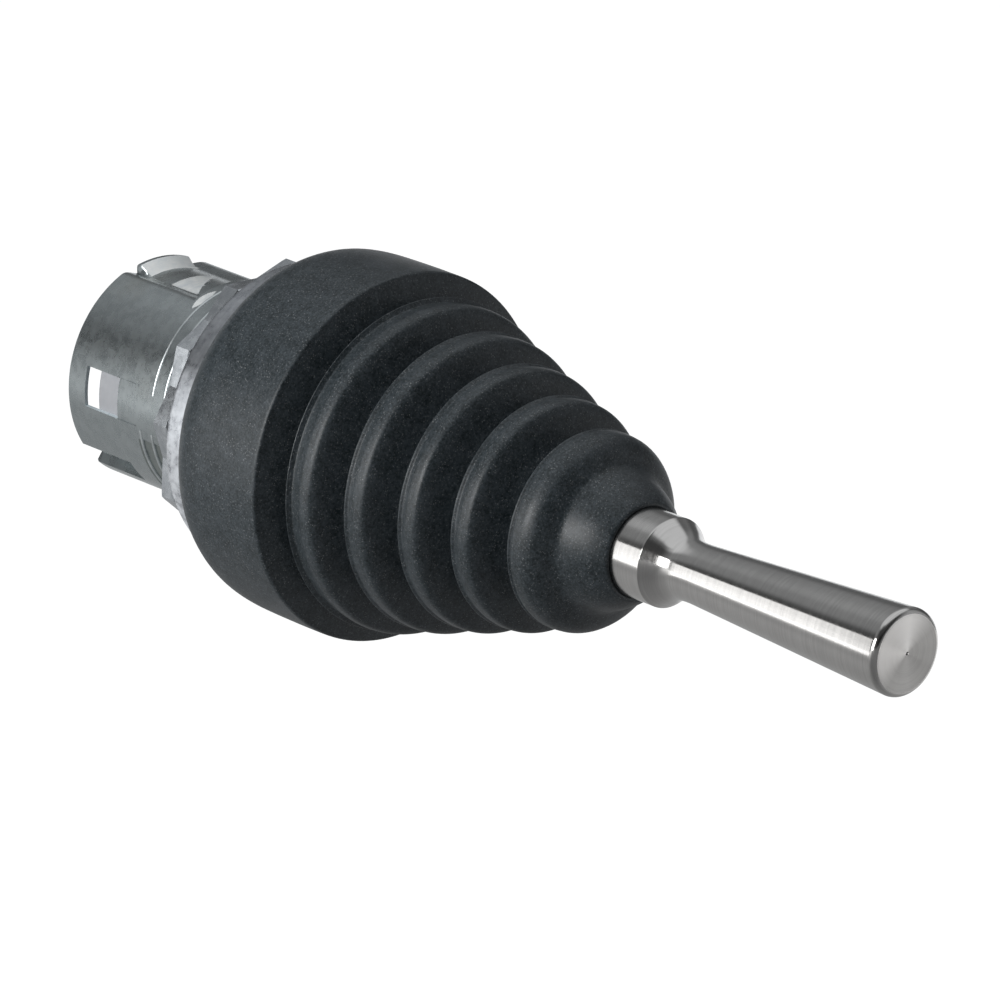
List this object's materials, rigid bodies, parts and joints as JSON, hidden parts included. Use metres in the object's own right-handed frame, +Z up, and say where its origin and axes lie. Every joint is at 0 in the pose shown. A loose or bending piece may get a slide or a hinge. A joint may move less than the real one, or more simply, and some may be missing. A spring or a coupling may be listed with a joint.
{
  "type": "toggle switch operator",
  "caption": "Panel-mounted toggle switch operator with a steel lever, rubber bellows boot, round flange, star nut and threaded barrel; the tilting lever pushes plungers behind the panel.",
  "frame": {"origin": "centre of the panel hole on the panel's front face, where the gasket seats", "axes": "lever along -Y to the front, barrel along +Y behind the panel, +Z up, +X to the right"},
  "size_m": [0.036, 0.1037, 0.036],
  "materials": {
    "zinc": "satin zinc casting",
    "gasket_rubber": "matt black rubber",
    "nut_zinc": "bright zinc",
    "gate_plastic": "black plastic",
    "screw_steel": "plated steel",
    "pin_steel": "ground steel",
    "guide_plastic": "natural plastic",
    "ring_steel": "blackened spring steel",
    "boot_rubber": "matt black rubber",
    "gimbal_brass": "machined brass",
    "hub_steel": "turned steel",
    "handle_steel": "turned stainless steel",
    "disc_steel": "hardened steel",
    "plunger_plastic": "red plastic",
    "spring_steel": "spring steel"
  },
  "bodies": {
    "housing": {"housing": "zinc", "panel_gasket": "gasket_rubber", "gate_plate": "gate_plastic", "gate_screws": "screw_steel", "trunnion_pins": "pin_steel", "guide_block": "guide_plastic", "guide_ring": "ring_steel", "boot": "boot_rubber", "spring_right": "spring_steel", "spring_up": "spring_steel", "spring_left": "spring_steel", "spring_down": "spring_steel"},
    "gimbal": {"gimbal_ring": "gimbal_brass", "cross_pins": "pin_steel"},
    "lever": {"lever_hub": "hub_steel", "jam_nut": "screw_steel", "lever_handle": "handle_steel", "actuator_disc": "disc_steel", "disc_screw": "screw_steel"},
    "nut": {"star_nut": "nut_zinc"},
    "plunger_right": {"plunger_right": "plunger_plastic"},
    "plunger_up": {"plunger_up": "plunger_plastic"},
    "plunger_left": {"plunger_left": "plunger_plastic"},
    "plunger_down": {"plunger_down": "plunger_plastic"}
  },
  "joints": [
    {"name": "tilt_vertical", "type": "hinge", "parent": "housing", "child": "gimbal", "pos_m": [0, -0.00885, 0], "axis": [1, 0, 0], "range_deg": [-12, 12], "stiffness_Nm_per_rad": 2, "deforming": ["boot"]},
    {"name": "tilt_sideways", "type": "hinge", "parent": "gimbal", "child": "lever", "pos_m": [0, -0.00885, 0], "axis": [0, 0, 1], "range_deg": [-12, 12], "stiffness_Nm_per_rad": 2, "deforming": ["boot"]},
    {"name": "nut_travel", "type": "slide", "parent": "housing", "child": "nut", "axis": [0, 1, 0], "range_m": [0, 0.006]},
    {"name": "plunger_down_push", "type": "slide", "parent": "housing", "child": "plunger_down", "axis": [0, 1, 0], "range_m": [-0.0012, 0.0012], "deforming": ["spring_down"]},
    {"name": "plunger_up_push", "type": "slide", "parent": "housing", "child": "plunger_up", "axis": [0, 1, 0], "range_m": [-0.0012, 0.0012], "deforming": ["spring_up"]},
    {"name": "plunger_right_push", "type": "slide", "parent": "housing", "child": "plunger_right", "axis": [0, 1, 0], "range_m": [-0.0012, 0.0012], "deforming": ["spring_right"]},
    {"name": "plunger_left_push", "type": "slide", "parent": "housing", "child": "plunger_left", "axis": [0, 1, 0], "range_m": [-0.0012, 0.0012], "deforming": ["spring_left"]}
  ],
  "couplings": [
    {"joint": "plunger_down_push", "follows": "tilt_vertical", "m_per_rad": 0.0056},
    {"joint": "plunger_up_push", "follows": "tilt_vertical", "m_per_rad": -0.0056},
    {"joint": "plunger_right_push", "follows": "tilt_sideways", "m_per_rad": 0.0056},
    {"joint": "plunger_left_push", "follows": "tilt_sideways", "m_per_rad": -0.0056}
  ]
}
